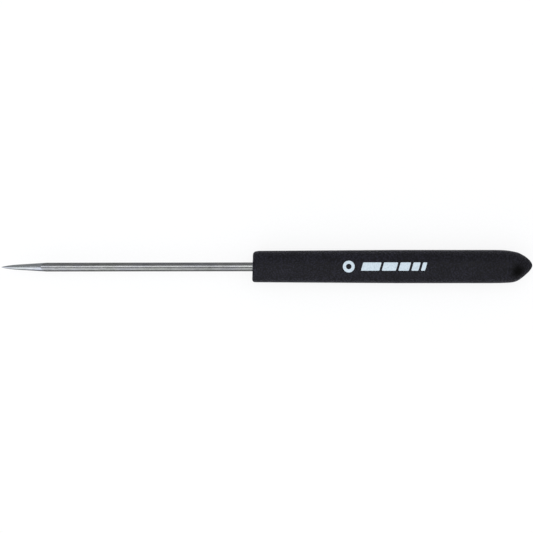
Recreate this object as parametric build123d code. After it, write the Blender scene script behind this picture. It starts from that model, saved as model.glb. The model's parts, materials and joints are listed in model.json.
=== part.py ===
from build123d import *
import os
from math import radians, tan

# Scratch awl with a dipped cushion grip, in millimetres, +Z up.
# It lies along X on its grip, with the point towards -X. The origin is on the surface
# that it lies on, under the middle of its length.
# The awl comes apart into a ground steel blade, the stiff core that is moulded round the
# blade's tang, the soft grip that is dipped over the core, and the ink of a printed mark.

# Driving dimensions
overall_length = 203.2  # 8 in, point to butt
blade_reach = 96.1  # the part of the blade that stands out of the grip
shank_radius = 3.4 / 2  # between the 1/8 in and 9/64 in stock sizes
barrel_radius = 12.75 / 2  # the grip's largest radius, nominally 1/2 in across

# Ground point: a slender cone that curves in to the tip, and a stoned nose
tip_length = 6.5
tip_base_radius = 1.02
tip_half_angle = 15.5
nose_radius = 0.12
cone_half_angle = 3.56
grinding_offset = 0.15  # the point is ground this far off the rod's axis, towards +Z
grinding_allowance = 2.0  # the rod is cut this much too long, and grinding takes it off
envelope_radius = 2.2  # clear of the rod all round, behind the ground point
envelope_overrun = 3.0  # past the rod's tang end

# Tang: the blade's hidden end, with wings swaged out of the rod to hold it in the core
tang_length = 66.0
tang_chamfer = 0.4
wing_offsets = (24.0, 50.0)  # from the shoulder, the second pair a quarter turn from the first
wing_length = 6.0
wing_span = 4.8
wing_thickness = 1.3
wing_run_out = 1.2
rod_height_at_wings = 2.7

# Lip groove, which the front wall of the grip closes into
lip_groove_start = 0.1
lip_groove_width = 0.7
lip_groove_depth = 0.2

# Grip: a long slight taper, a straight barrel, and a butt like a blunt bullet
front_radius = 6.02
front_corner = 1.1
front_wall = 1.4
barrel_start = 54.8  # from the shoulder to the straight stretch
barrel_end = 90.0  # from the shoulder to the end of the straight stretch
butt_outline = ((12.3, 6.27), (9.0, 6.10), (6.7, 5.72), (4.4, 4.78), (2.1, 3.08), (0.6, 1.50))

# Core
core_radius = 4.2
core_collar_radius = 4.8
core_collar_length = 4.0
core_chamfer = 0.4
core_butt_gap = 4.2
core_dome_length = 6.0
key_groove_count = 5
key_groove_pitch = 16.0
key_groove_first = 14.0
key_groove_width = 3.0
key_groove_depth = 0.5

# Printed mark: a ring and a stripe that breaks up into slanted bars
ink_thickness = 0.04
ring_centre = 36.76  # from the shoulder
ring_radius = 2.25
ring_hole_radius = 1.05
bars_start = 41.4  # from the shoulder
bar_widths = (7.0, 5.4, 4.0, 2.7, 1.6)
bar_gap = 0.95
bar_height = 3.15
bar_slant = 16.0
bar_corner = 0.3

# Places along X
tip_x = -overall_length / 2
butt_x = overall_length / 2
shoulder_x = tip_x + blade_reach
tang_end_x = shoulder_x + tang_length
core_front_x = shoulder_x + front_wall
core_rear_x = butt_x - core_butt_gap
axis_height = barrel_radius
lift = Pos(0, 0, axis_height)


def turned(outline):
    """Solid of revolution about X. The outline is closed, in the XY plane, with Y as the radius."""
    return revolve(make_face(outline), Axis.X)


def rod():
    """The drill rod as cut to length, with its lip groove and a chamfered tang end."""
    front_x = tip_x - grinding_allowance
    groove_start = shoulder_x + lip_groove_start
    groove_end = groove_start + lip_groove_width
    groove_radius = shank_radius - lip_groove_depth
    return turned(
        Polyline(
            (front_x, 0),
            (front_x, shank_radius),
            (groove_start, shank_radius),
            (groove_start, groove_radius),
            (groove_end, groove_radius),
            (groove_end, shank_radius),
            (tang_end_x - tang_chamfer, shank_radius),
            (tang_end_x, shank_radius - tang_chamfer),
            (tang_end_x, 0),
            close=True,
        )
    )


def grinding_envelope():
    """Everything that grinding the point leaves. Nose, tip and cone run tangent into each other."""
    cone_slope = tan(radians(cone_half_angle))
    tip_slope = tan(radians(tip_half_angle))
    nose = CenterArc((tip_x + nose_radius, 0), nose_radius, 180, tip_half_angle - 90)
    nose_end = nose @ 1
    cone_start = (tip_x + tip_length, tip_base_radius)
    rise = cone_start[1] - nose_end.Y - cone_slope * (cone_start[0] - nose_end.X)
    run = rise / (tip_slope - cone_slope)
    tip = Bezier(nose_end, nose_end + Vector(run, run * tip_slope), cone_start)
    cone_run = (envelope_radius - tip_base_radius) / cone_slope
    cone_end = (cone_start[0] + cone_run, envelope_radius)
    rear_x = tang_end_x + envelope_overrun
    rest = Polyline(cone_start, cone_end, (rear_x, envelope_radius), (rear_x, 0), (tip_x, 0))
    return turned(nose + tip + rest)


def wing_pair(offset):
    """Two ears that the rod is squeezed out into, in the XY plane, with tapering run-outs."""
    half_length = wing_length / 2
    half_span = wing_span / 2
    inner = half_length - wing_run_out
    outline = Polyline(
        (-half_length, 0),
        (-inner, half_span),
        (inner, half_span),
        (half_length, 0),
        (inner, -half_span),
        (-inner, -half_span),
        close=True,
    )
    ears = extrude(make_face(outline), wing_thickness / 2, both=True)
    return Pos(shoulder_x + offset, 0, 0) * ears


def wing_flats(offset):
    """What the squeeze takes off the rod, above and below the wings."""
    depth = shank_radius - rod_height_at_wings / 2
    centre = shank_radius - depth / 2
    flat = Box(wing_length - 2 * wing_run_out, 2 * shank_radius, depth)
    place = Pos(shoulder_x + offset, 0, 0)
    return place * (Pos(0, 0, centre) * flat + Pos(0, 0, -centre) * flat)


def make_blade():
    """Ground rod with its swaged tang, about the X axis."""
    blade = rod() & Pos(0, 0, grinding_offset) * grinding_envelope()
    for quarter_turns, offset in enumerate(wing_offsets):
        turn = Rot(90 * quarter_turns, 0, 0)
        blade = blade - turn * wing_flats(offset) + turn * wing_pair(offset)
    return blade


def core_blank():
    """The core's outside: a collar behind the shoulder, key grooves for the grip, a domed rear."""
    points = [
        (core_front_x, 0),
        (core_front_x, core_collar_radius - core_chamfer),
        (core_front_x + core_chamfer, core_collar_radius),
        (core_front_x + core_collar_length, core_collar_radius),
        (core_front_x + core_collar_length, core_radius),
    ]
    bottom_radius = core_radius - key_groove_depth
    for number in range(key_groove_count):
        start = core_front_x + key_groove_first + number * key_groove_pitch
        end = start + key_groove_width
        points += [(start, core_radius), (start, bottom_radius)]
        points += [(end, bottom_radius), (end, core_radius)]
    dome_start = (core_rear_x - core_dome_length, core_radius)
    front = Polyline(*points, dome_start)
    dome = EllipticalCenterArc((dome_start[0], 0), core_dome_length, core_radius, arc_size=90)
    return turned(front + dome + Line((core_rear_x, 0), (core_front_x, 0)))


def grip_blank(growth=0.0):
    """The grip's outside as a solid. Growth thickens it evenly, for a film that lies on it."""
    corner_centre = (shoulder_x + front_corner, front_radius - front_corner)
    corner_radius = front_corner + growth
    corner = CenterArc(corner_centre, corner_radius, 90, 90)
    corner_top = (corner_centre[0], corner_centre[1] + corner_radius)
    face_edge = (corner_centre[0] - corner_radius, corner_centre[1])
    straight_start = (shoulder_x + barrel_start, barrel_radius + growth)
    straight_end = (shoulder_x + barrel_end, barrel_radius + growth)
    sides = Polyline(corner_top, straight_start, straight_end)
    butt_end = (butt_x + growth, 0)
    butt_points = [(butt_x - back, radius + growth) for back, radius in butt_outline]
    butt = Spline(straight_end, *butt_points, butt_end, tangents=[(1, 0), (0, -1)])
    face = Polyline(butt_end, (face_edge[0], 0), face_edge)
    return turned(corner + sides + butt + face)


def ring_outline():
    """The mark's ring, seen from above."""
    place = Pos(shoulder_x + ring_centre, 0)
    return place * (Circle(ring_radius) - Circle(ring_hole_radius))


def bar_outlines():
    """The mark's slanted bars, seen from above, each narrower than the last."""
    lean = bar_height * tan(radians(bar_slant))
    start = shoulder_x + bars_start
    bars = []
    for width in bar_widths:
        left_top = start + lean
        corners = Polyline(
            (start, -bar_height / 2),
            (start + width, -bar_height / 2),
            (left_top + width, bar_height / 2),
            (left_top, bar_height / 2),
            close=True,
        )
        bar = make_face(corners)
        bars.append(fillet(bar.vertices(), bar_corner))
        start += width + bar_gap
    return bars


def make_mark(grip_outside):
    """Ink film on the top of the grip, one solid for each shape."""
    film = grip_blank(ink_thickness) - grip_outside
    stamped = [extrude(shape, 2 * barrel_radius) & film for shape in [ring_outline(), *bar_outlines()]]
    return Compound(children=[solid for shape in stamped for solid in shape.solids()])


os.makedirs("parts", exist_ok=True)

blade = make_blade()
core_outside = core_blank()
grip_outside = grip_blank()
parts = {
    "blade": blade,
    "handle_core": core_outside - blade,
    "cushion_grip": grip_outside - core_outside - blade,
    "grip_mark": make_mark(grip_outside),
}
for name, part in parts.items():
    export_step(lift * part, f"parts/{name}.step")
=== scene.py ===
# %% [markdown]
# # Scratch awl
# A scratch awl is a slim ground point in a handle. It scribes lines on leather, wood or metal,
# and it starts holes. This one has a length of drill rod for a blade, a stiff core moulded round
# the rod's tang, and a black cushion grip dipped over the core.
#
# The design model gives the sizes and the places, in metres. It lies along X with the point
# towards -X, on a floor at height zero. This script gives it its looks: each piece is modelled
# again at full fineness, or keeps its designed shape and gets a finish.

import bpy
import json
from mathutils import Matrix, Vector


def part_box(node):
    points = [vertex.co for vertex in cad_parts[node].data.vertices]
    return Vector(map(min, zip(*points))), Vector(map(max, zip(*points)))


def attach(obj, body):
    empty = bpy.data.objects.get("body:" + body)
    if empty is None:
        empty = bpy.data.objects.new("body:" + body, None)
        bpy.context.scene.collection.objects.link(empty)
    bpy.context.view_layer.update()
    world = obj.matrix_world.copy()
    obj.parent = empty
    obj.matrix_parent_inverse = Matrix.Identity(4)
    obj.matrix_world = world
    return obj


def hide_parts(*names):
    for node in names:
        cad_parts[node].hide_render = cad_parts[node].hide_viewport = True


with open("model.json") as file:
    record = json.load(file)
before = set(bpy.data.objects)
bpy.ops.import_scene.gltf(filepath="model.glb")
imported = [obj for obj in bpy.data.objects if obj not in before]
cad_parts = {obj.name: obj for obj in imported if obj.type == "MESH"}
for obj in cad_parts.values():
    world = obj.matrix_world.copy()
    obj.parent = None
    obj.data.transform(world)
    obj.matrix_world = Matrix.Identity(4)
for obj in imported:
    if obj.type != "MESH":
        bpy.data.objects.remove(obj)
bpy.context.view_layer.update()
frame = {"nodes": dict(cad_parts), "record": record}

# %% [markdown]
# ## Sizes
# The mounts of the design give the awl's axis, the radius of the rod and of the barrel, and the
# shoulder, which is the flat front of the grip. Everything else is written in millimetres, as on
# a shop drawing, and turned into metres in one place.

# %% Sizes from the design
import json
from math import asin, atan, ceil, cos, hypot, pi, radians, sin, tan, tau

import bmesh
import bpy
from mathutils import Matrix, Vector, noise
from mathutils.geometry import interpolate_bezier

MM = 0.001

mounts = {mount["name"]: mount for mount in frame["record"]["mounts"]}
axis_height = mounts["shank"]["pos_m"][2] / MM
rod_radius = mounts["shank"]["dims"]["r_mm"]
barrel_radius = mounts["grip_barrel"]["dims"]["r_mm"]
shoulder_x = mounts["shoulder"]["pos_m"][0] / MM
tip_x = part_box("blade")[0].x / MM
tang_end_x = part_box("blade")[1].x / MM
butt_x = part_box("cushion_grip")[1].x / MM
core_front_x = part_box("handle_core")[0].x / MM
core_rear_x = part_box("handle_core")[1].x / MM
print("tip", tip_x, "shoulder", shoulder_x, "butt", butt_x, "axis height", axis_height)

# %% [markdown]
# ## Tools for shaping
# The blade and the grip both start on a lathe: an outline is turned about the long axis. The `spin`
# operator does that, and the seam and the poles are closed by merging the doubles. A curved
# stretch of an outline is one Bezier curve, given by its two ends and its two handles.

# %% Turning and easing
def curve(start, start_handle, end_handle, end, steps):
    """Points along one Bezier curve of an outline, as (x, radius)."""
    knots = [Vector((x, radius, 0)) for x, radius in (start, start_handle, end_handle, end)]
    return [(point.x, point.y) for point in interpolate_bezier(*knots, steps + 1)]


def turn(outline, segments, pitch=None):
    """Turns an outline about the X axis, in millimetres. Long runs are first cut up to the pitch."""
    form = bmesh.new()
    verts = [form.verts.new((x, 0, radius)) for x, radius in outline]
    edges = [form.edges.new(ends) for ends in zip(verts, verts[1:])]
    for edge in edges if pitch else []:
        cuts = ceil(edge.calc_length() / pitch) - 1
        if cuts > 0:
            bmesh.ops.subdivide_edges(form, edges=[edge], cuts=cuts)
    bmesh.ops.spin(
        form,
        geom=form.verts[:] + form.edges[:],
        cent=(0, 0, 0),
        axis=(1, 0, 0),
        angle=tau,
        steps=segments,
        use_merge=True,
    )
    bmesh.ops.remove_doubles(form, verts=form.verts, dist=1e-5)
    bmesh.ops.recalc_face_normals(form, faces=form.faces)
    return form


def ease(start, end, value):
    """0 before start, 1 after end, and a smooth S between them."""
    part = min(max((value - start) / (end - start), 0.0), 1.0)
    return part * part * (3 - 2 * part)


# %% [markdown]
# A finished form is scaled from millimetres to metres, lifted to the awl's axis and made an
# object. Smooth shading is kept off the edges that are sharper than a given angle, so that a
# chamfer stays crisp while the round of the rod stays round. The object itself stays at the
# origin, and its place is in its mesh.

# %% Making an object of a form
def finish_piece(name, form, materials, sharp_degrees, replaced):
    """Makes the named object and joins it to the awl's one body."""
    bmesh.ops.scale(form, verts=form.verts, vec=(MM, MM, MM))
    bmesh.ops.translate(form, verts=form.verts, vec=(0, 0, axis_height * MM))
    mesh = bpy.data.meshes.new(name)
    form.to_mesh(mesh)
    form.free()
    for material in materials:
        mesh.materials.append(material)
    mesh.shade_smooth()
    mesh.set_sharp_from_angle(angle=radians(sharp_degrees))
    piece = bpy.data.objects.new(name, mesh)
    bpy.context.collection.objects.link(piece)
    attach(piece, "root")
    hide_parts(replaced)
    size = [round(side / MM, 2) for side in piece.dimensions]
    print(name, len(mesh.polygons), "faces, size in mm", size)
    return piece


# %% [markdown]
# ## Tools for finishes
# Each finish is a Principled shader with a few pattern nodes in front of it. One helper adds a
# node: its options are set by name, and each input gets either a constant or a link. The two sets
# of options that come back often, to multiply colours and to fade smoothly, have names. Colours
# are written as they are mixed on a screen, in sRGB hex, and one function makes them linear.

# %% Colour and node helpers
MULTIPLY = {"data_type": "RGBA", "blend_type": "MULTIPLY"}
SMOOTH = {"interpolation_type": "SMOOTHSTEP"}


def linear(hex_colour):
    """An sRGB hex colour as linear red, green, blue and alpha."""
    channels = [int(hex_colour[place : place + 2], 16) / 255 for place in (1, 3, 5)]
    return (*[c / 12.92 if c <= 0.04045 else ((c + 0.055) / 1.055) ** 2.4 for c in channels], 1.0)


def node(tree, kind, inputs, stops=(), **options):
    """Adds one shader node. Each input gets a value, or a link when it is given a socket.

    A colour ramp also gets its stops, each of them a position and a hex colour.
    """
    added = tree.nodes.new("ShaderNode" + kind)
    for name, value in options.items():
        setattr(added, name, value)
    for name, value in inputs.items():
        if isinstance(value, bpy.types.NodeSocket):
            tree.links.new(value, added.inputs[name])
        else:
            added.inputs[name].default_value = value
    for _ in stops[2:]:
        added.color_ramp.elements.new(0.5)
    for number, (position, colour) in enumerate(stops):
        added.color_ramp.elements[number].position = position
        added.color_ramp.elements[number].color = linear(colour)
    return added


def new_finish(name):
    """An empty material and its node tree."""
    material = bpy.data.materials.new(name)
    material.use_nodes = True
    material.node_tree.nodes.clear()
    return material, material.node_tree


# %% [markdown]
# ## Ground steel
# Drill rod is high-carbon steel, ground to size between wheels. Under a lens the surface is all
# fine scratches, and to the eye it is a satin grey with crisp bands of light along it, because
# the rod is a mirror across its width and a brush along its length. That is anisotropy with the
# streaks of light drawn out along the rod. Polishing by hand leaves faint lengthwise lines, and
# the heat of hardening leaves a breath of colour.

# %% Ground steel finish
def streaks(tree, place, width_mm, length_mm, detail):
    """Noise drawn out along X, from the real width and length of one streak."""
    stretch = node(
        tree,
        "Mapping",
        {"Vector": place, "Scale": (1 / (length_mm * MM), 1 / (width_mm * MM), 1 / (width_mm * MM))},
    )
    pattern = node(
        tree,
        "TexNoise",
        {"Vector": stretch.outputs["Vector"], "Scale": 1.0, "Detail": detail, "Roughness": 0.6},
    )
    return pattern.outputs["Fac"]


def steel_finish(name, light, dark, roughness, anisotropy):
    """Satin steel. Its lines are a third of a millimetre wide, coarser than real ones, to show."""
    material, tree = new_finish(name)
    place = node(tree, "TexCoord", {}).outputs["Object"]
    lines = streaks(tree, place, 0.35, 14.0, 4.0)
    sparks = streaks(tree, place, 0.3, 2.5, 3.0)
    heat = streaks(tree, place, 4.0, 11.0, 2.0)
    both = node(tree, "Mix", {"Factor": 0.5, "A": lines, "B": sparks})
    tone = node(tree, "ValToRGB", {"Fac": both.outputs[0]}, stops=((0.38, dark), (0.62, light)))
    heat_colours = ((0.35, "#F0F2FB"), (0.5, "#FCFDFF"), (0.65, "#F8FBF9"))
    tint = node(tree, "ValToRGB", {"Fac": heat}, stops=heat_colours)
    mixed = {"Factor": 1.0, "A": tone.outputs["Color"], "B": tint.outputs["Color"]}
    colour = node(tree, "Mix", mixed, **MULTIPLY)
    relief = node(tree, "Bump", {"Height": both.outputs[0], "Strength": 0.5, "Distance": 0.008 * MM})
    around = node(tree, "Tangent", {}, direction_type="RADIAL", axis="X")
    shader = node(
        tree,
        "BsdfPrincipled",
        {
            "Base Color": colour.outputs[2],
            "Metallic": 1.0,
            "Roughness": roughness,
            "Anisotropic": anisotropy,
            "Anisotropic Rotation": 0.25,
            "Tangent": around.outputs["Tangent"],
            "Normal": relief.outputs["Normal"],
        },
    )
    node(tree, "OutputMaterial", {"Surface": shader.outputs["BSDF"]})
    return material


ground_steel = steel_finish("ground_steel", "#CBCCCC", "#9B9C9C", 0.17, 0.5)
honed_steel = steel_finish("honed_steel", "#E4E8ED", "#C6CAD1", 0.13, 0.3)

# %% [markdown]
# ## The blade
# The blade is one rod from the point to the end of the hidden tang. On the bench its point is
# ground a little off the rod's own axis, so the ground cone meets the round along a slanted line:
# it runs further back below than above. Here the outline is turned first, as if it were all on
# one axis. Then the cone is leaned: its rings slant where it meets the rod, and they move up by
# the grinding's offset towards the tip. Both moves keep every ring on the same cone.

# %% Turn the rod and its point
tip_length = 6.5
tip_base_radius = 1.02
tip_slope = tan(radians(15.5))
nose_radius = 0.12
cone_slope = tan(radians(3.56))
grinding_offset = 0.15
lean_start = 9.0  # mm from the tip, where the rings begin to slant
lip_groove_start = 0.1
lip_groove_end = 0.8
lip_groove_depth = 0.2
tang_chamfer = 0.4

cone_end_x = tip_x + tip_length + (rod_radius - tip_base_radius) / cone_slope
cone_start = (tip_x + tip_length, tip_base_radius)
nose_turns = [(pi / 2 - atan(tip_slope)) * step / 6 for step in range(7)]
nose = [(tip_x + nose_radius * (1 - cos(turned)), nose_radius * sin(turned)) for turned in nose_turns]
nose_end = nose[-1]
run = cone_start[1] - nose_end[1] - cone_slope * (cone_start[0] - nose_end[0])
run /= tip_slope - cone_slope
corner = Vector((nose_end[0] + run, nose_end[1] + run * tip_slope))
thirds = [tuple(Vector(end).lerp(corner, 2 / 3)) for end in (nose_end, cone_start)]
blade_outline = nose + curve(nose_end, *thirds, cone_start, 14)[1:]
blade_outline += [
    (cone_end_x, rod_radius),
    (shoulder_x + lip_groove_start, rod_radius),
    (shoulder_x + lip_groove_start, rod_radius - lip_groove_depth),
    (shoulder_x + lip_groove_end, rod_radius - lip_groove_depth),
    (shoulder_x + lip_groove_end, rod_radius),
    (tang_end_x - tang_chamfer, rod_radius),
    (tang_end_x, rod_radius - tang_chamfer),
    (tang_end_x, 0),
]
blade = turn(blade_outline, segments=96, pitch=1.0)
print("the cone meets the rod", round(cone_end_x - tip_x, 2), "mm from the tip")

# %% [markdown]
# The tang holds in the core by its wings: the rod is squeezed flat in two places, a quarter turn
# apart, and the steel spreads to the sides. The same squeeze is one scaling of each ring.

# %% Lean the point and squeeze the wings
wing_offsets = (24.0, 50.0)
wing_length = 6.0
wing_run_out = 1.2
wing_spread = 4.8 / (2 * rod_radius)
wing_squeeze = 2.7 / (2 * rod_radius)
point_slant = grinding_offset / (cone_slope * rod_radius)

for vert in blade.verts:
    x, y, z = vert.co
    if x < cone_end_x + 1e-4:
        slanted = ease(tip_x + lean_start, cone_end_x, x)
        vert.co.x -= slanted * point_slant * z
        vert.co.z += (1 - slanted) * grinding_offset
    for quarter_turns, offset in enumerate(wing_offsets):
        from_middle = abs(x - shoulder_x - offset)
        squeezed = 1 - ease(wing_length / 2 - wing_run_out, wing_length / 2, from_middle)
        wide, flat = 1 + squeezed * (wing_spread - 1), 1 + squeezed * (wing_squeeze - 1)
        vert.co.y *= flat if quarter_turns else wide
        vert.co.z *= wide if quarter_turns else flat

# %% [markdown]
# The rod comes out of the grip a touch off centre and not quite straight, as on any hand tool.
# The faces of the cone get the brighter honed finish.

# %% Set the rod in the handle and give it its finishes
blade_shift = -0.11  # mm sideways where the blade leaves the grip
blade_drift = -0.14  # mm more at the tip


def blade_centre(x):
    """How far to the side the middle of the blade is."""
    return blade_shift + blade_drift * max(shoulder_x - x, 0) / (shoulder_x - tip_x)


for face in blade.faces:
    middle = face.calc_center_median()
    face.material_index = int(middle.x + point_slant * middle.z < cone_end_x)
for vert in blade.verts:
    vert.co.y += blade_centre(vert.co.x)
finish_piece("ground_blade", blade, [ground_steel, honed_steel], 2.0, "blade")

# %% [markdown]
# ## Dipped vinyl
# The grip is plastisol: the handle is dipped hot into liquid vinyl, which gels on it and is
# cured in an oven. It comes out matt black and a little soft, with a skin of small pebbles. The
# pebbles are cells, stirred by a noise so that no two are alike. Each one is raised by a bump, and
# the creases round it get a painted shade. Matt rubber is paler towards its outline, and sheen
# does that. The colour also gets a painted shade that grows towards the butt, and a darker one in
# the dimple in the butt.

# %% Dipped vinyl finish
dimple_back = 5.5  # mm before the butt
dimple_across = -1.9
dimple_height = 4.9  # mm over the axis
dimple_shade = (0.8, 4.2)  # mm from its middle, where the painted shade is darkest and where it ends
pebble_size = 0.65
pebble_height = 0.16  # drawn tall, so that the grain shows


def speckle(tree, place, size_mm):
    """Noise with spots of a real size."""
    return node(
        tree,
        "TexNoise",
        {"Vector": place, "Scale": 1 / (size_mm * MM), "Detail": 2.0, "Roughness": 0.55},
    ).outputs["Fac"]


def pebbles(tree, place, size_mm):
    """Height of a skin of rounded pebbles of a real size, from 0 between them to 1 on top."""
    stirred = node(tree, "TexNoise", {"Vector": place, "Scale": 1 / (2 * size_mm * MM)}).outputs["Color"]
    moved = node(tree, "VectorMath", {0: stirred, 1: (0.6 * size_mm * MM,) * 3}, operation="MULTIPLY")
    loose = node(tree, "VectorMath", {0: place, 1: moved.outputs["Vector"]}, operation="ADD")
    cells = node(
        tree,
        "TexVoronoi",
        {"Vector": loose.outputs["Vector"], "Scale": 1 / (size_mm * MM), "Smoothness": 0.5},
        feature="SMOOTH_F1",
    )
    height = {"Value": cells.outputs["Distance"], "From Max": 0.75, "To Min": 1.0, "To Max": 0.0}
    return node(tree, "MapRange", height, **SMOOTH).outputs["Result"]


def vinyl_finish():
    """Matt dipped vinyl, with pebbles, slow changes of tone and gloss, and painted shade in the creases,
    towards the butt and in the dimple.
    """
    material, tree = new_finish("dipped_vinyl")
    place = node(tree, "TexCoord", {}).outputs["Object"]
    grain = pebbles(tree, place, pebble_size)
    handling = speckle(tree, place, 9.0)
    along = node(tree, "SeparateXYZ", {"Vector": place}).outputs["X"]
    length = {"From Min": shoulder_x * MM, "From Max": butt_x * MM}
    # Painted shade: the colour grows darker from the shoulder towards the butt.
    rear_painted_shade = node(tree, "MapRange", {"Value": along, **length, "To Min": 0.14, "To Max": -0.16})
    tone_and_rear_shade = node(tree, "Math", {0: handling, 1: rear_painted_shade.outputs["Result"]}, operation="ADD")
    tone = node(
        tree, "ValToRGB", {"Fac": tone_and_rear_shade.outputs[0]}, stops=((0.25, "#171722"), (0.75, "#1F1F2D"))
    )
    # Painted shade in the creases: between the pebbles the colour is darker than on their tops.
    painted_crease_shade = node(tree, "ValToRGB", {"Fac": grain}, stops=((0.1, "#969696"), (0.75, "#FFFFFF")))
    mixed = {"Factor": 1.0, "A": tone.outputs["Color"], "B": painted_crease_shade.outputs["Color"]}
    crease_shaded_tone = node(tree, "Mix", mixed, **MULTIPLY)

    # Painted shade round the dimple in the butt: the colour darkens to near black there, and the surface
    # is rougher.
    spot = Vector((butt_x - dimple_back, dimple_across, axis_height + dimple_height)) * MM
    away = node(tree, "VectorMath", {0: place, 1: spot}, operation="DISTANCE").outputs["Value"]
    darkest, end = dimple_shade
    reach = {"Value": away, "From Min": darkest * MM, "From Max": end * MM}
    shade = node(tree, "MapRange", {**reach, "To Min": 0.02, "To Max": 1.0}, **SMOOTH)
    dull = node(tree, "MapRange", {**reach, "To Min": 0.5, "To Max": 0.0}, **SMOOTH)
    mixed = {"Factor": 1.0, "A": crease_shaded_tone.outputs[2], "B": shade.outputs["Result"]}
    colour = node(tree, "Mix", mixed, **MULTIPLY)
    polish = {"From Min": 0.3, "From Max": 0.7, "To Min": 0.5, "To Max": 0.44}
    gloss = node(tree, "MapRange", {"Value": handling, **polish})
    rough = node(
        tree, "Math", {0: gloss.outputs["Result"], 1: dull.outputs["Result"]}, operation="ADD"
    )
    relief = node(tree, "Bump", {"Height": grain, "Strength": 1.0, "Distance": pebble_height * MM})
    shader = node(
        tree,
        "BsdfPrincipled",
        {
            "Base Color": colour.outputs[2],
            "Roughness": rough.outputs[0],
            "IOR": 1.52,
            "Specular IOR Level": 0.24,
            "Sheen Weight": 0.16,
            "Sheen Roughness": 0.3,
            "Sheen Tint": linear("#E0DEEE"),
            "Normal": relief.outputs["Normal"],
        },
    )
    node(tree, "OutputMaterial", {"Surface": shader.outputs["BSDF"]})
    return material


dipped_vinyl = vinyl_finish()

# %% [markdown]
# ## The grip
# The grip is a thick skin over the core. Its outline starts at the inner pole, follows the core
# forwards, with a rib for each key groove, turns in at the lip that closes on the rod, and comes
# back along the outside to the butt. Turned once, that is a closed wall. The outside tapers up to
# an even barrel, and the butt is two curves that meet at a knee.

# %% Outline of the grip
core_radius = 4.2
collar_radius = 4.8
collar_length = 4.0
core_chamfer = 0.4
core_dome_length = 6.0
key_first = 14.0
key_pitch = 16.0
key_grooves = [core_front_x + key_first + key_pitch * number for number in range(5)]
key_width = 3.0
key_depth = 0.5
front_radius = 6.02
front_corner = 1.1
barrel_start_x = shoulder_x + 54.8
barrel_end_x = shoulder_x + 90.0
round_handle = 0.5523  # the handle's share of the radius in a quarter circle
barrel_handle = 7.1
knee = (5.76, 5.46)  # mm before the butt, and radius
knee_turn = 0.337  # radians
knee_handles = (2.24, 1.44)  # before and behind it
peak_handle = 2.04


def inside_of_grip():
    """From the inner pole forwards to the lip, along the core and the rod."""
    dome_start_x = core_rear_x - core_dome_length
    across = round_handle * core_radius
    along = round_handle * core_dome_length
    points = curve(
        (core_rear_x, 0),
        (core_rear_x, across),
        (dome_start_x + along, core_radius),
        (dome_start_x, core_radius),
        12,
    )
    for start in reversed(key_grooves):
        points += [(start + key_width, core_radius), (start + key_width, core_radius - key_depth)]
        points += [(start, core_radius - key_depth), (start, core_radius)]
    points += [
        (core_front_x + collar_length, core_radius),
        (core_front_x + collar_length, collar_radius),
        (core_front_x + core_chamfer, collar_radius),
        (core_front_x, collar_radius - core_chamfer),
        (core_front_x, rod_radius),
        (shoulder_x + lip_groove_end, rod_radius),
        (shoulder_x + lip_groove_end, rod_radius - lip_groove_depth),
        (shoulder_x + lip_groove_start, rod_radius - lip_groove_depth),
        (shoulder_x + lip_groove_start, rod_radius),
    ]
    return points


def butt_of_grip():
    """From the end of the barrel round to the outer pole."""
    knee_x, knee_radius = butt_x - knee[0], knee[1]
    before, after = knee_handles
    ahead = (knee_x - before * cos(knee_turn), knee_radius + before * sin(knee_turn))
    behind = (knee_x + after * cos(knee_turn), knee_radius - after * sin(knee_turn))
    barrel_end = (barrel_end_x, barrel_radius)
    barrel_out = (barrel_end_x + barrel_handle, barrel_radius)
    flank = curve(barrel_end, barrel_out, ahead, (knee_x, knee_radius), 30)
    return flank + curve((knee_x, knee_radius), behind, (butt_x, peak_handle), (butt_x, 0), 32)[1:]


front_round = curve(
    (shoulder_x, front_radius - front_corner),
    (shoulder_x, front_radius - front_corner * (1 - round_handle)),
    (shoulder_x + front_corner * (1 - round_handle), front_radius),
    (shoulder_x + front_corner, front_radius),
    6,
)
lip_round = [(shoulder_x + 0.04, rod_radius + 0.02), (shoulder_x, rod_radius + 0.12)]
grip_outline = inside_of_grip() + lip_round + front_round
grip_outline += [(barrel_start_x, barrel_radius)] + butt_of_grip()
grip = turn(grip_outline, segments=144, pitch=0.4)
print("grip", len(grip.faces), "faces")

# %% [markdown]
# ## Shape of a dipped grip
# Nothing dipped is a true solid of revolution. The front is cut across by hand and leans, and its
# corner is softer on one side. The last of the vinyl drained to the butt and set off centre, with
# one flank flatter than the other and a shallow dimple beside the peak. Last comes the pebbled
# skin, which is real relief: three hundredths of a millimetre, in waves a millimetre or so across.

# %% Lean the front, set the butt off centre and raise the grain
front_lean = 0.027  # mm along for each mm across
front_lean_reach = 6.0
soft_corner = 0.37
soft_corner_reach = 2.7
butt_peak_shift = 0.42
butt_peak_reach = (0.5, 6.4)  # mm before the butt, where the shift starts to fade and where it ends
butt_belly_shift = -0.1
butt_belly_reach = (4.4, 7.4, 11.0)  # mm before the butt: start, middle and end
dimple_depth = 0.16
dimple_size = (1.7, 1.3)  # half its length and half its width
grain_waves = ((1.5, 0.016), (0.8, 0.012))  # (mm from wave to wave, mm high)


def outer_share(vert):
    """1 on the outside of the grip and 0 on its inner wall."""
    radius = hypot(vert.co.y, vert.co.z)
    between = shoulder_x + 0.02 < vert.co.x < core_rear_x + 0.1
    inside = between and radius < collar_radius + 0.1
    before_knee = vert.co.x < butt_x - knee[0]
    return 0.0 if inside and (before_knee or radius < core_radius + 0.1) else 1.0


def grain_height(place):
    """Height of the pebbled skin at a place, in millimetres."""
    return sum(high * noise.noise(place / across) for across, high in grain_waves)


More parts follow.
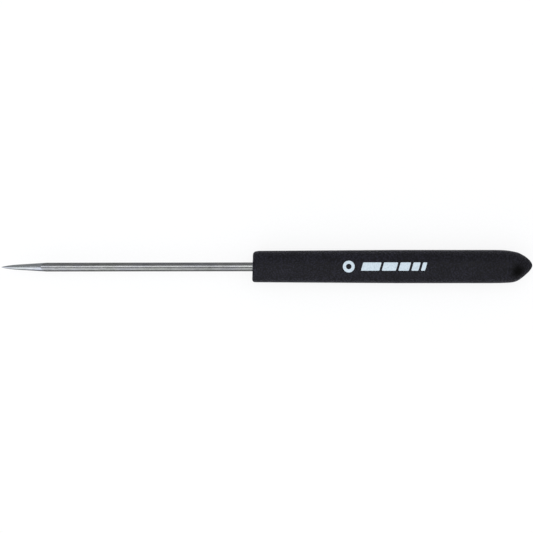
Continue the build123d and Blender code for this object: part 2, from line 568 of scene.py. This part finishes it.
def dipped(place):
    """Moves a place on the turned grip to where the dipping and cutting left it."""
    x, y, z = place
    radius = hypot(y, z)
    side = y / max(radius, 1e-6)
    from_front = x - shoulder_x
    from_butt = butt_x - x
    along = front_lean * y * (1 - ease(0, front_lean_reach, from_front))
    sinking = soft_corner * max(side, 0) ** 2 * (1 - ease(-0.6, soft_corner_reach, from_front))
    sinking *= ease(front_radius - 2.0, front_radius - 0.5, radius)
    shift = butt_peak_shift * (1 - ease(*butt_peak_reach, from_butt))
    near, middle, far = butt_belly_reach
    shift += butt_belly_shift * ease(far, middle, from_butt) * ease(near, middle, from_butt)
    half_length, half_width = dimple_size
    hollow = hypot((from_butt - dimple_back) / half_length, (y - dimple_across) / half_width)
    deep = dimple_depth * (1 - ease(0, 1, hollow)) if z > 0 else 0
    inwards = 1 - (sinking + deep) / max(radius, 1e-6)
    return Vector((x + along, y * inwards + shift, z * inwards))


grip.normal_update()
outer_verts = [vert for vert in grip.verts if outer_share(vert)]
for vert in outer_verts:
    raised = grain_height(vert.co) * ease(rod_radius, rod_radius + 1.0, hypot(vert.co.y, vert.co.z))
    vert.co = dipped(vert.co + vert.normal * raised)
for vert in grip.verts:
    near_rod = 1 - ease(rod_radius, rod_radius + 1.0, hypot(vert.co.y, vert.co.z))
    if vert.co.x < core_front_x + 0.1:
        vert.co.y += near_rod * blade_shift
finish_piece("dipped_grip", grip, [dipped_vinyl], 35.0, "cushion_grip")

# %% [markdown]
# ## The printed mark
# A mark is pad-printed on the cured grip: a silicone pad picks up a film of ink and rolls it over
# the round. The mark here is a plain ring and a stripe that breaks up into slanted bars. Ink is
# only hundredths of a millimetre thick, and it follows the pebbles under it. Each shape is made
# flat, cut finely enough to bend, laid on the grip with the same grain, and given its thickness.

# %% Printing ink finish
def ink_finish():
    """Flat two-part ink. It is a little thin in spots, where the black shows through."""
    material, tree = new_finish("pad_printed_ink")
    place = node(tree, "TexCoord", {}).outputs["Object"]
    cover = speckle(tree, place, 0.6)
    ink_colours = ((0.3, "#A6B4BF"), (0.5, "#B4C3CD"), (0.75, "#BDCBD5"))
    colour = node(tree, "ValToRGB", {"Fac": cover}, stops=ink_colours)
    relief = node(tree, "Bump", {"Height": cover, "Strength": 0.3, "Distance": 0.01 * MM})
    shader = node(
        tree,
        "BsdfPrincipled",
        {
            "Base Color": colour.outputs["Color"],
            "Roughness": 0.5,
            "IOR": 1.5,
            "Normal": relief.outputs["Normal"],
        },
    )
    node(tree, "OutputMaterial", {"Surface": shader.outputs["BSDF"]})
    return material


pad_printed_ink = ink_finish()

# %% Shapes of the mark
ink_thickness = 0.04
ink_sink = 0.03  # below the skin, so that no gap shows
ring_centre_x = shoulder_x + 36.76
ring_radius = 2.25
ring_hole_radius = 1.05
bars_start_x = shoulder_x + 41.4
bar_widths = (7.0, 5.4, 4.0, 2.7, 1.6)
bar_gap = 0.95
bar_height = 3.15
bar_slant = tan(radians(16.0))
bar_corner = 0.3
ink_cell = 0.35


def add_ring(form):
    """A flat ring, cut into four rows from its hole to its rim."""
    place = Matrix.Translation((ring_centre_x, 0, 0))
    circles = [
        bmesh.ops.create_circle(form, segments=64, radius=radius, matrix=place)["verts"]
        for radius in (ring_hole_radius, ring_radius)
    ]
    rims = {edge for circle in circles for vert in circle for edge in vert.link_edges}
    bridge = bmesh.ops.bridge_loops(form, edges=list(rims))["edges"]
    bmesh.ops.subdivide_edges(form, edges=bridge, cuts=3, use_grid_fill=True)


def add_bar(form, start_x, width):
    """A flat bar of small cells with rounded corners, then leaned over."""
    columns, rows = ceil(width / ink_cell), ceil(bar_height / ink_cell)
    middle = Matrix.Translation((start_x + width / 2, 0, 0))
    size = Matrix.Diagonal((width / 2, bar_height / 2, 1, 1))
    grid = bmesh.ops.create_grid(form, x_segments=columns, y_segments=rows, size=1, matrix=middle @ size)
    corners = [vert for vert in grid["verts"] if len(vert.link_edges) == 2]
    rounded = bmesh.ops.bevel(
        form, geom=corners, offset=bar_corner, segments=4, profile=0.5, affect="VERTICES", material=-1
    )
    verts = {vert for vert in grid["verts"] if vert.is_valid} | set(rounded["verts"])
    for vert in verts:
        vert.co.x += bar_slant * (vert.co.y + bar_height / 2)


mark = bmesh.new()
add_ring(mark)
bar_x = bars_start_x
for width in bar_widths:
    add_bar(mark, bar_x, width)
    bar_x += width + bar_gap
print("mark", len(mark.faces), "flat faces, from", round(bars_start_x, 2), "to", round(bar_x, 2))

# %% Lay the ink on the grip
def on_skin(x, y, height):
    """The place on the top of the grip at that height over its skin."""
    radius = front_radius + (barrel_radius - front_radius) * min(
        (x - shoulder_x - front_corner) / (barrel_start_x - shoulder_x - front_corner), 1.0
    )
    angle = asin(y / radius)
    outwards = Vector((0, sin(angle), cos(angle)))
    skin = Vector((x, 0, 0)) + outwards * radius
    return skin + outwards * (grain_height(skin) + height)


for vert in mark.verts:
    vert.co = on_skin(vert.co.x, vert.co.y, ink_thickness)
bmesh.ops.recalc_face_normals(mark, faces=mark.faces)
if sum(face.normal.z for face in mark.faces) < 0:
    bmesh.ops.reverse_faces(mark, faces=mark.faces)
bmesh.ops.solidify(mark, geom=mark.faces[:], thickness=ink_thickness + ink_sink)
bmesh.ops.recalc_face_normals(mark, faces=mark.faces)
finish_piece("printed_mark", mark, [pad_printed_ink], 40.0, "grip_mark")

# %% [markdown]
# ## The core
# The core is natural nylon, moulded round the tang. It is hidden in the grip, so it keeps its
# designed shape and only gets its finish: a warm off-white, a little translucent, with the fine
# texture of the mould.

# %% Moulded nylon finish
def nylon_finish():
    """Natural nylon as it comes out of the mould."""
    material, tree = new_finish("moulded_nylon")
    place = node(tree, "TexCoord", {}).outputs["Object"]
    spark = speckle(tree, place, 0.25)
    flow = speckle(tree, place, 7.0)
    colour = node(tree, "ValToRGB", {"Fac": flow}, stops=((0.3, "#D8CFB8"), (0.7, "#E3DBC6")))
    relief = node(tree, "Bump", {"Height": spark, "Strength": 0.3, "Distance": 0.01 * MM})
    shader = node(
        tree,
        "BsdfPrincipled",
        {
            "Base Color": colour.outputs["Color"],
            "Roughness": 0.45,
            "IOR": 1.53,
            "Subsurface Weight": 0.15,
            "Subsurface Scale": 1.0 * MM,
            "Normal": relief.outputs["Normal"],
        },
    )
    node(tree, "OutputMaterial", {"Surface": shader.outputs["BSDF"]})
    return material


core = frame["nodes"]["handle_core"]
core.data.materials.clear()
core.data.materials.append(nylon_finish())

# %% [markdown]
# ## Floor, sky and lamps
# The awl lies on a pale frosted sheet, under an even white sky. The sheet is lit from below too,
# like a light table, which all but washes out the awl's shadow. Polished metal shows whatever it
# faces, so a plain white room would turn the rod flat white and lose its round. A photographer of
# metal darkens the room for the metal alone, with black flags, and lets in narrow strips of light.
# Here the sky is dim and the sheet is absent in reflections only. One long soft lamp behind the
# awl and two in front of it give the rod its bands, and the grip gets the weaker front one.

# %% Floor and sky
floor_radius = 4.0
floor_glow = 0.83


def make_floor():
    """A round frosted sheet at height zero, with a light of its own."""
    form = bmesh.new()
    bmesh.ops.create_circle(form, cap_ends=True, segments=96, radius=floor_radius)
    mesh = bpy.data.meshes.new("frosted_floor")
    form.to_mesh(mesh)
    form.free()
    material, tree = new_finish("frosted_sheet")
    place = node(tree, "TexCoord", {}).outputs["Object"]
    frost = {"Fac": speckle(tree, place, 0.8)}
    colour = node(tree, "ValToRGB", frost, stops=((0.3, "#606163"), (0.7, "#646567")))
    shader = node(
        tree,
        "BsdfPrincipled",
        {
            "Base Color": colour.outputs["Color"],
            "Roughness": 0.9,
            "Emission Color": linear("#FFFFFF"),
            "Emission Strength": floor_glow,
        },
    )
    node(tree, "OutputMaterial", {"Surface": shader.outputs["BSDF"]})
    mesh.materials.append(material)
    floor = bpy.data.objects.new("frosted_floor", mesh)
    bpy.context.collection.objects.link(floor)
    floor.visible_glossy = False


def make_sky(brightness, brightness_in_metal):
    """An even white sky that metal sees dimmed."""
    world = bpy.data.worlds.new("white_sky")
    world.use_nodes = True
    tree = world.node_tree
    tree.nodes.clear()
    ray = node(tree, "LightPath", {})
    dimming = {"To Min": brightness, "To Max": brightness_in_metal}
    strength = node(tree, "MapRange", {"Value": ray.outputs["Is Glossy Ray"], **dimming})
    sky = node(
        tree, "Background", {"Color": linear("#FFFFFF"), "Strength": strength.outputs["Result"]}
    )
    node(tree, "OutputWorld", {"Surface": sky.outputs["Background"]})
    bpy.context.scene.world = world


make_floor()
make_sky(1.1, 0.27)

# %% Lamps
def soft_lamp(name, from_x, to_x, from_degrees, to_degrees, distance, brightness):
    """A long soft lamp between two angles from straight up, positive towards +Y, facing the awl."""
    light = bpy.data.lights.new(name, "AREA")
    light.shape = "RECTANGLE"
    light.size = to_x - from_x
    light.size_y = 2 * distance * tan(radians(to_degrees - from_degrees) / 2)
    light.energy = brightness * pi * light.size * light.size_y
    lamp = bpy.data.objects.new(name, light)
    tilt = radians(from_degrees + to_degrees) / 2
    lamp.location = ((from_x + to_x) / 2, distance * sin(tilt), distance * cos(tilt))
    lamp.rotation_euler = (-tilt, 0, 0)
    lamp.visible_camera = False
    bpy.context.collection.objects.link(lamp)
    size = f"{light.size:.2f} by {light.size_y:.2f} m"
    print(name, "size", size, "and", round(light.energy, 2), "W")


soft_lamp("back_lamp", -0.2, 0.6, 5, 28, 1.0, 1.45)
soft_lamp("front_lamp_point", -0.75, -0.075, -80, -11, 0.6, 0.88)
soft_lamp("front_lamp_grip", -0.075, 0.2, -82, -31, 0.6, 0.5)

# %% [markdown]
# ## Camera
# The camera looks straight down on the awl through a long lens, from nearly three metres away, so
# that the outline is all but free of perspective. The awl fills the width of the picture.

# %% Camera
picture_width = 204.08 * MM
picture_middle = (-0.17 * MM, 0.02 * MM)

camera_data = bpy.data.cameras.new("camera")
camera_data.lens = 500
camera_data.sensor_width = 36
camera = bpy.data.objects.new("camera", camera_data)
camera_height = picture_width * camera_data.lens / camera_data.sensor_width
camera.location = (*picture_middle, axis_height * MM + camera_height)
camera_data.clip_end = 10
bpy.context.collection.objects.link(camera)
scene = bpy.context.scene
scene.camera = camera
scene.view_settings.view_transform = "Standard"
print("camera", round(camera_height, 3), "m above the awl")
